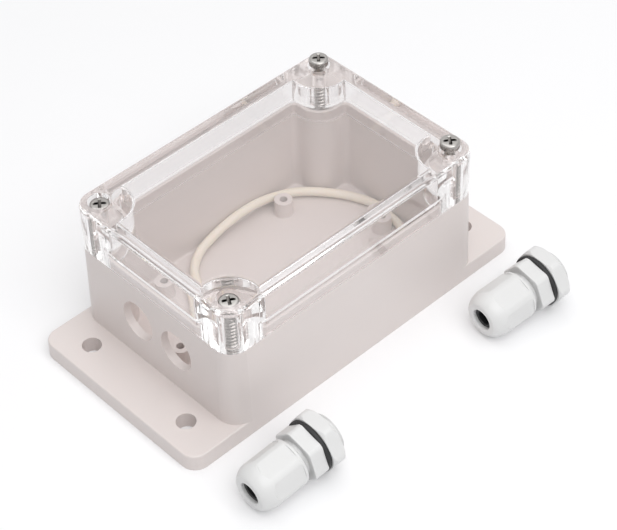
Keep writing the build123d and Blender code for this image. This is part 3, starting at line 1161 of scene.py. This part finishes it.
    def insert(self) -> Solid:
        """Make the rubber insert, with sealing rings in its bore and a narrow nose in the dome's mouth.

        Returns:
            The insert's shell.
        """
        bore, outside, flange = self.insert_bore / 2, self.insert_outside / 2, self.insert_flange_diameter / 2
        nose, lips = self.nose_diameter / 2, self.nose_bore / 2
        line = profile([
            (self.insert_start, bore, 0.2 * MM), (self.insert_start, outside, 0.2 * MM),
            (self.insert_flange, outside, 0.0), (self.insert_flange, flange, 0.15 * MM),
            (self.insert_end, flange, 0.25 * MM), (self.insert_end, nose, 0.2 * MM),
            (self.nose_end, nose, 0.2 * MM), (self.nose_end, lips, 0.3 * MM),
            (self.insert_end + 1.2 * MM, lips, 0.4 * MM), (self.insert_end - 0.4 * MM, bore, 0.0),
        ], 0.12 * MM)
        station, radius, angle = self.spread(line)
        ring = 0.22 * MM * (0.5 - 0.5 * np.cos(TURN * (station - self.insert_start) / (1.5 * MM)))
        middle = (station > self.insert_start + 0.4 * MM) & (station < self.insert_end - 0.8 * MM)
        radius = np.where((np.abs(radius - bore) < TOUCH) & middle, radius + ring, radius)
        solid = Solid()
        solid.add_ring(self.seat().place(station, radius, angle[:, ::2]))
        return solid

    def washer(self) -> Solid:
        """Make the flat rubber washer with softened edges.

        Returns:
            The washer's shell.
        """
        bore, outside = self.wall_thread / 2 + self.running_gap, self.washer_diameter / 2
        line = profile([
            (-self.washer_thickness, bore, 0.1 * MM), (-self.washer_thickness, outside, 0.3 * MM),
            (0.0, outside, 0.3 * MM), (0.0, bore, 0.1 * MM),
        ])
        solid = Solid()
        solid.add_ring(self.seat().place(*self.spread(line)))
        return solid

    def lock_nut(self) -> Solid:
        """Make the lock nut: a hexagon with its corners turned down and chamfered, threaded inside.

        Its radius is the softer minimum of the hexagon's and the turned profile's.

        Returns:
            The nut's shell.
        """
        bore, outer = self.wall_thread / 2 + self.running_gap, self.lock_diameter / 2
        near, far = -self.washer_thickness, -self.lock_end
        line = profile([
            (near, bore, 0.2 * MM), (near, outer - 0.8 * MM, 0.15 * MM), (near - 0.8 * MM, outer, 0.3 * MM),
            (far + 0.8 * MM, outer, 0.3 * MM), (far, outer - 0.8 * MM, 0.15 * MM), (far, bore, 0.3 * MM),
        ], 0.14 * MM)
        station, radius, angle = self.spread(line)
        limit = np.broadcast_to(radius, (len(radius), angle.shape[1]))
        shape = softer(hexagon(angle, self.lock_flats), limit, self.lock_sharpness)
        cut = thread_cut(station, angle, self.wall_pitch, far, near)
        shape = np.where(np.abs(radius - bore) < TOUCH, limit + cut * self.thread_depth, shape)
        solid = Solid()
        solid.add_ring(self.seat().place(station, shape, angle))
        return solid

    def build(self, finishes: dict[str, bpy.types.Material]) -> list[bpy.types.Object]:
        """Make all five pieces in place of their CAD nodes.

        Args:
            finishes: the material of each slot.

        Returns:
            The five objects.
        """
        makers = {
            GlandPart.BODY: self.body, GlandPart.DOME_NUT: self.dome_nut, GlandPart.INSERT: self.insert,
            GlandPart.WASHER: self.washer, GlandPart.LOCK_NUT: self.lock_nut,
        }
        pieces = []
        for part, make in makers.items():
            name, node, body, slot = part.value
            made = make().piece(f"gland_{self.number}_{name}", finishes[slot])
            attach(made, f"gland_{self.number}_{body}")
            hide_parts(f"gland_{self.number}_{node}")
            pieces.append(made)
        return pieces


@dataclass
class Enclosure:
    """The box itself: base, clear lid, seal cord and the four lid screws."""

    seam_height: float = 33.8 * MM
    seam_clearance: float = 0.03 * MM
    cross_turns: tuple[tuple[Corner, float], ...] = (
        (Corner.FRONT_LEFT, -30.0), (Corner.BACK_LEFT, -38.0),
        (Corner.BACK_RIGHT, -42.0), (Corner.FRONT_RIGHT, -38.0),
    )

    def build(self) -> None:
        """Dress the mouldings and build what goes with them."""
        cord = SealCord().build(SoftSilicone().build())
        LOG.info("laid %s", cord.name)
        dress("base", MouldedShell().build())
        cover = lifted_copy("lid", "clear_cover_moulding", self.seam_height, self.seam_clearance)
        cover.data.materials.clear()
        cover.data.materials.append(ClearCover().build())
        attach(cover, "cover")
        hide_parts("lid")
        for corner, turn in self.cross_turns:
            screw = LidScrew(corner, turn).build()
            LOG.info("made %s", screw.name)


@dataclass
class Studio:
    """A white table, soft light from above and the front, and the camera at the photograph's angle."""

    place: tuple[float, float, float] = (-0.28361, -0.32580, 0.43183)
    forward: tuple[float, float, float] = (0.4817, 0.5324, -0.6961)
    roll: float = -2.15
    lens: float = 116.5
    sensor: float = 36.0
    floor_size: float = 3.0
    floor_colour: Colour = (0.86, 0.86, 0.87)
    floor_glow: float = 0.10
    sky: float = 0.46
    aim: tuple[float, float, float] = (0, 0, 0.02)
    seen: tuple[str, ...] = ("Is Camera Ray", "Is Glossy Ray", "Is Transmission Ray")

    def set_camera(self) -> None:
        """Set the camera up from its place, direction and roll."""
        forward = Vector(self.forward).normalized()
        level = forward.cross(Vector((0, 0, 1))).normalized()
        up = level.cross(forward)
        lean = math.radians(self.roll)
        right = level * math.cos(lean) + up * math.sin(lean)
        top = up * math.cos(lean) - level * math.sin(lean)
        data = bpy.data.cameras.new("camera")
        data.lens, data.sensor_width, data.clip_start = self.lens, self.sensor, 0.01
        camera = placed("camera", data)
        turn = Matrix((right, top, -forward)).transposed()
        camera.matrix_world = Matrix.Translation(self.place) @ turn.to_4x4()
        bpy.context.scene.camera = camera

    def add_lamp(self, name: str, place: Sequence[float], size: float, power: float) -> None:
        """Hang one square soft light that faces the box.

        Args:
            name: the lamp's name.
            place: where it hangs, in metres.
            size: the length of its side.
            power: its power in watts.
        """
        data = bpy.data.lights.new(name, "AREA")
        data.shape, data.size, data.energy = "SQUARE", size, power
        lamp = placed(name, data)
        lamp.location = place
        lamp.rotation_euler = (Vector(place) - Vector(self.aim)).to_track_quat("Z", "Y").to_euler()

    def set_floor(self) -> None:
        """Lay the white table, which glows a little for the camera and keeps its shadows."""
        half = self.floor_size / 2
        mesh = bpy.data.meshes.new("table_top")
        corners = [(-half, -half, 0), (half, -half, 0), (half, half, 0), (-half, half, 0)]
        mesh.from_pydata(corners, [], [(0, 1, 2, 3)])
        floor = placed("table_top", mesh)
        r = Recipe(bpy.data.materials.new("table_paper"))
        paper = r.noise(r.place(), 0.02, 3.0)
        matt = r.add("BsdfDiffuse", None, {"Color": r.shade(self.floor_colour, paper, 0.004)})
        glow = r.add("Emission", None, {"Color": (1, 1, 1, 1), "Strength": self.floor_glow})
        both = r.add("AddShader", None, {0: matt.outputs[0], 1: glow.outputs[0]})
        shader = r.add("MixShader", None, {0: r.ray(*self.seen), 1: matt.outputs[0], 2: both.outputs[0]})
        floor.data.materials.append(r.finish(shader))

    def set_sky(self) -> None:
        """Make the world white where it is seen and softer where it lights."""
        r = Recipe(bpy.data.worlds.new("soft_box"))
        strength = self.sky + r.ray(*self.seen) * (1.0 - self.sky)
        back = r.add("Background", None, {"Color": (1.0, 1.0, 1.0, 1.0), "Strength": strength})
        bpy.context.scene.world = r.finish(back, "OutputWorld")

    def build(self) -> None:
        """Set the floor, the light and the view."""
        self.set_floor()
        self.set_sky()
        self.add_lamp("key_light", (-0.10, -0.55, 0.85), 0.9, 5.8)
        self.add_lamp("top_light", (0.10, 0.25, 1.1), 1.0, 3.6)
        bpy.context.scene.view_settings.view_transform = "Standard"


def main() -> None:
    """Build the studio, the enclosure and the glands."""
    logging.basicConfig(level=logging.INFO, format="%(name)s: %(message)s")
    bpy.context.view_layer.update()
    studio = Studio()
    studio.set_camera()
    Enclosure().build()
    finishes = {"gland_nylon": WhiteNylon().build(), "seal_rubber": BlackRubber().build()}
    for gland in (CableGland(1, -15.0, -13.0), CableGland(2, -8.3, -25.0)):
        for piece in gland.build(finishes):
            LOG.info("made %s", piece.name)
    studio.build()


if __name__ == "__main__":
    main()
